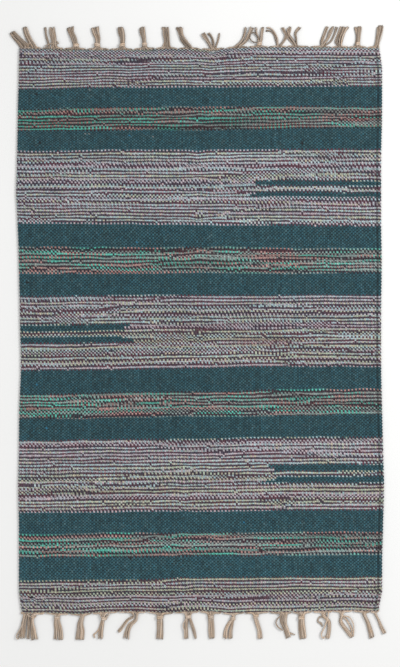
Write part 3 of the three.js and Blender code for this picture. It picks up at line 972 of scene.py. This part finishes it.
class YarnMesh:
    """Collects the tubes of one tassel and joins them in one mesh."""

    SIDES = 8
    STEP = 1.25 * MM
    LAY = 6.4 * MM
    LOBE = 0.13
    TIP_LENGTH = 3 * MM
    TIP_SHARE = 0.55

    def __init__(self):
        self.points, self.faces, self.uvs, self.tones, self.crests = [], [], [], [], []
        self.count = 0

    def add(self, path, radius, tone, closed=False):
        """Adds a yarn along a path. A closed one is a ring, and an open one thins out to its tip."""
        line, places = resample(path, self.STEP)
        if closed:
            line, places = line[:-1], places[:-1]
        normal, side = ways_across(line, closed)
        angle = np.arange(self.SIDES) / self.SIDES * 2 * math.pi
        lobes = 1 + self.LOBE * np.cos(2 * angle[None, :] + places[:, None] / self.LAY * 2 * math.pi * 2)
        thick = np.full(len(line), radius)
        if not closed:
            left = (places[-1] - places) / self.TIP_LENGTH
            thick = thick * (self.TIP_SHARE + (1 - self.TIP_SHARE) * np.minimum(1, left))
        size = thick[:, None] * lobes
        tube = (line[:, None, :] + normal[:, None, :] * (np.cos(angle)[None, :] * size)[..., None]
                + side[:, None, :] * (np.sin(angle)[None, :] * size)[..., None])
        self.points.append(tube.reshape(-1, 3))
        self.tones.append(np.full(tube.shape[0] * self.SIDES, tone))
        # How high each point lies round its yarn, for painted shade on the yarn's sides and underside
        self.crests.append(((tube[..., 2] - line[:, None, 2]) / radius).ravel())
        self.add_faces(places / MM, closed)
        self.count += len(line) * self.SIDES

    def add_faces(self, places, closed):
        """Faces round the tube that was added last, and a cap on each end of an open one."""
        rings, step = len(places), self.STEP / MM
        starts = [self.count + ring * self.SIDES for ring in range(rings)]
        for here, there, v in zip(starts, starts[1:] + starts[:1] * closed, places):
            for s in range(self.SIDES):
                t = (s + 1) % self.SIDES
                self.faces.append((here + s, here + t, there + t, there + s))
                u0, u1 = s / self.SIDES, (s + 1) / self.SIDES
                self.uvs += [(u0, v), (u1, v), (u1, v + step), (u0, v + step)]
        if not closed:
            ring = list(range(self.SIDES))
            self.faces.append(tuple(starts[0] + s for s in reversed(ring)))
            self.faces.append(tuple(starts[-1] + s for s in ring))
            self.uvs += [(0.5, 0.0)] * self.SIDES * 2

    def build(self, name, material):
        mesh = bpy.data.meshes.new(name)
        points = np.concatenate(self.points)
        points[:, 2] = np.maximum(points[:, 2], YARN_REST)
        points[:, :2] += MIDDLE
        mesh.from_pydata(points.tolist(), [], self.faces)
        mesh.shade_smooth()
        add_map(mesh, "Yarn", self.uvs)
        add_attribute(mesh, "tone", np.concatenate(self.tones))
        add_attribute(mesh, "crest", np.concatenate(self.crests))
        mesh.materials.append(material)
        return new_object(name, mesh)


def laid_yarn(line, share, widths, out, height, dice):
    """Places of one yarn from knot to tip, beside the line of its bundle by its share of the width."""
    way = np.gradient(line, axis=0)
    way /= np.linalg.norm(way, axis=1, keepdims=True)
    beside = np.column_stack([way[:, 1], -way[:, 0]]) * out
    t = np.linspace(0, 1, len(line))
    sway = dice.normal(0, 0.6, len(line)) * MM * t
    offset = (share[0] * (1 - t) * widths[0] + share[1] * t * widths[1]) + sway
    places = line + beside * offset[:, None]
    return [(x, y, z) for (x, y), z in zip(places, height[0] * (1 - t) + height[1] * t)]


def gathered_end(start, knot, away, edge, out, run, layer):
    """Places of a warp end from the cloth along the woven edge to its knot."""
    x, y, _ = knot
    return [
        (start, edge(start) - out * 1.5 * MM, 2.4 * MM),
        (start - away * 0.10, edge(start) + out * run * 0.8, 2.0 * MM),
        (x + away * 0.48, edge(x + away * 0.48) + out * run, 1.7 * MM),
        (x + away * 0.14, edge(x) * 0.8 + y * 0.2 + out * run * 0.8, 1.8 * MM + layer * 0.7 * MM),
    ]


def add_bundle(yarns, bundle, starts, edge, out, radius, dice):
    """The yarns of one bundle of a tassel, each from the cloth to its loose tip, and a few thin wisps."""
    count, *numbers = bundle
    widths = [max(0.0, v * MM - 2 * radius) for v in numbers[:2]]
    line = np.array(numbers[2:]).reshape(-1, 2) * MM * (1, out)
    ranks = np.argsort(np.arange(count) + dice.normal(0, 0.5, count))
    tip_ranks = np.argsort(np.argsort(ranks + dice.normal(0, 1.0, count)))
    for yarn in range(count):
        start = next(starts) + dice.uniform(-0.5, 0.5) * MM
        share = [(rank[yarn] + 0.5) / count - 0.5 if count > 1 else 0.0 for rank in (ranks, tip_ranks)]
        layer = 2 if count == 1 else ranks[yarn] % min(3, count - 1)
        height = (radius * (1.2 + layer * 1.1), radius * (1.0 + layer * 0.7))
        loose = laid_yarn(line, share, widths, out, height, dice)
        run = dice.uniform(0.8, 2.0) * MM
        path = gathered_end(start, loose[0], start - line[0][0], edge, out, run, layer)
        gathered = len(path)
        tip = np.array(loose[-1]) + np.array([0.0, dice.uniform(-1.5, 0.6) * out * MM, 0.0])
        path += [*loose[:-1], tuple(tip)]
        streak = math.cos(ranks[yarn] * 1.5 + line[0][0] / MM) * STREAK
        thickness = radius * dice.uniform(0.88, 1.12)
        yarns.add(path, thickness, dice.uniform(-0.35, 0.5) + (FOOT_TONE if out < 0 else 0.0) + streak)
        if yarn % 5 == 2:
            wisp = [(x + dice.normal(0, 1.3) * MM, y, z + 0.4 * MM) for x, y, z in path[gathered:]]
            yarns.add(wisp, radius * WISP_SHARE, 1.0)


def knot_tassel(name, tassel, span, edge, out, fringe, material, dice):
    """One tassel: warp ends that run along the woven edge to the knot, loose bundles of them below it, and
    the wraps of the knot where they show."""
    *knot, bundles = tassel
    knot_x, knot_y, knot_width = (size * MM for size in knot)
    radius = fringe.yarn_radius
    yarns = YarnMesh()
    starts = iter(np.linspace(*span, sum(bundle[0] for bundle in bundles)))
    for bundle in sorted(bundles, key=lambda bundle: bundle[3]):
        add_bundle(yarns, bundle, starts, edge, out, radius, dice)
    slant = dice.uniform(-0.4, 0.4) * 2.5 * MM
    for wrap in (-0.5, 0.5) if knot_width else ():
        ring = []
        for angle in np.linspace(0, 2 * math.pi, 17):
            ring.append((knot_x + math.cos(angle) * (knot_width / 2 - 0.4 * radius),
                         out * (knot_y + wrap * WRAP_STEP * radius) + math.cos(angle) * slant,
                         radius * (WRAP_LEVEL + math.sin(angle) * WRAP_HEIGHT)))
        yarns.add(ring, radius * WRAP_THICKNESS, dice.uniform(0.7, 1.3), closed=True)
    return yarns.build(name, material)


# Operators


class KILIM_OT_stage(bpy.types.Operator):
    """Lays the pale floor, and sets the soft light and the camera straight above the rug"""

    bl_idname = "kilim.stage"
    bl_label = "Floor, light and camera"

    def execute(self, context):
        studio = context.scene.kilim_studio
        material, tree, principled = new_material("Studio floor", roughness=0.8)
        place = Value(tree, add_node(tree, "ShaderNodeNewGeometry").outputs["Position"])
        grain = fed_node("ShaderNodeTexNoise", {"Vector": place, "Scale": 3.0, "Detail": 2.0})[0]
        colour = shade(linear(studio.floor)[:3], grain * 0.03 + 0.985)
        tree.links.new(colour.socket, principled.inputs["Base Color"])
        mesh = bpy.data.meshes.new("studio_floor")
        far, level = 30.0, -0.4 * MM
        corners = [(-far, -far, level), (far, -far, level), (far, far, level), (-far, far, level)]
        mesh.from_pydata(corners, [], [(0, 1, 2, 3)])
        mesh.materials.append(material)
        floor = new_object("studio_floor", mesh)

        world = bpy.data.worlds.new("Studio sky")
        world.use_nodes = True
        context.scene.world = world
        sky = world.node_tree.nodes["Background"]
        sky.inputs["Color"].default_value = (1, 1, 1, 1)
        sky.inputs["Strength"].default_value = studio.sky_strength
        for name, place, size, power in (
            ("key_light", (1.5, 0.7, 1.7), 1.0, studio.key_power * 1.9),
            ("fill_light", (-1.2, -0.9, 2.1), 1.4, studio.key_power * 0.55),
        ):
            data = bpy.data.lights.new(name, "AREA")
            data.shape, data.size, data.energy = "DISK", size, power
            light = new_object(name, data)
            light.location = place
            light.rotation_euler = (-Vector(place)).to_track_quat("-Z", "Y").to_euler()

        camera = new_object("camera", bpy.data.cameras.new("camera"))
        camera.data.lens = studio.lens
        camera.data.sensor_fit = "VERTICAL"
        camera.data.sensor_height = camera.data.sensor_width = SENSOR
        camera.data.clip_end = 20.0
        distance = VIEW_HEIGHT * studio.lens / SENSOR
        camera.location = (*(MIDDLE + VIEW_OFFSET), distance + VIEW_LEVEL)
        context.scene.camera = camera
        context.scene.view_settings.view_transform = "Standard"
        return {"FINISHED"}


class KILIM_OT_fringes(bpy.types.Operator):
    """Knots the warp ends at the head and the foot into tassels"""

    bl_idname = "kilim.fringes"
    bl_label = "Knotted fringes"

    def execute(self, context):
        fringe = context.scene.kilim_fringe
        material = warp_yarn(fringe)
        outline = Outline()
        dice = np.random.default_rng(11)
        for end, out, tassels in (("head", 1, HEAD_TASSELS), ("foot", -1, FOOT_TASSELS)):
            knots = np.array([tassel[0] for tassel in tassels]) * MM
            first, last = -CUT_WIDTH / 2 + 2 * MM, CUT_WIDTH / 2 - 4 * MM
            limits = np.concatenate([[first], (knots[1:] + knots[:-1]) / 2, [last]])
            for number, tassel in enumerate(tassels, 1):
                node = f"tassel_{end}_{number:02d}"
                span = (limits[number - 1] + SPAN_GAP, limits[number] - SPAN_GAP)
                piece = knot_tassel(
                    f"fringe_{end}_{number:02d}", tassel, span, lambda x: float(outline.at(end, x)), out,
                    fringe, material, dice)
                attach(piece, "root")
                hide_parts(node)
        return {"FINISHED"}


class KILIM_OT_woven_field(bpy.types.Operator):
    """Weaves the striped field of the rug"""

    bl_idname = "kilim.woven_field"
    bl_label = "Woven field"

    def execute(self, context):
        cloth = context.scene.kilim_cloth
        mesh = weave_cloth(cloth)
        mesh.materials.append(woven_wool(cloth))
        piece = new_object("woven_field", mesh)
        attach(piece, "root")
        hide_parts("rug")
        return {"FINISHED"}


class KILIM_PT_panel(bpy.types.Panel):
    """Lists the steps that make the rug"""

    bl_label = "Kilim rug"
    bl_idname = "KILIM_PT_panel"
    bl_space_type = "VIEW_3D"
    bl_region_type = "UI"
    bl_category = "Kilim"

    def draw(self, context):
        for settings, operator in (
            ("kilim_studio", "kilim.stage"),
            ("kilim_fringe", "kilim.fringes"),
            ("kilim_cloth", "kilim.woven_field"),
        ):
            box = self.layout.box()
            group_settings = getattr(context.scene, settings)
            for name in group_settings.bl_rna.properties.keys():
                if name not in ("rna_type", "name"):
                    box.prop(group_settings, name)
            box.operator(operator)


CLASSES = (
    ClothSettings, FringeSettings, StudioSettings,
    KILIM_OT_stage, KILIM_OT_fringes, KILIM_OT_woven_field, KILIM_PT_panel,
)


def register():
    for made in CLASSES:
        bpy.utils.register_class(made)
    bpy.types.Scene.kilim_cloth = PointerProperty(type=ClothSettings)
    bpy.types.Scene.kilim_fringe = PointerProperty(type=FringeSettings)
    bpy.types.Scene.kilim_studio = PointerProperty(type=StudioSettings)


def unregister():
    del bpy.types.Scene.kilim_cloth, bpy.types.Scene.kilim_fringe, bpy.types.Scene.kilim_studio
    for made in reversed(CLASSES):
        bpy.utils.unregister_class(made)


def main():
    register()
    bpy.ops.kilim.stage()
    bpy.ops.kilim.fringes()
    bpy.ops.kilim.woven_field()


if __name__ == "__main__":
    main()
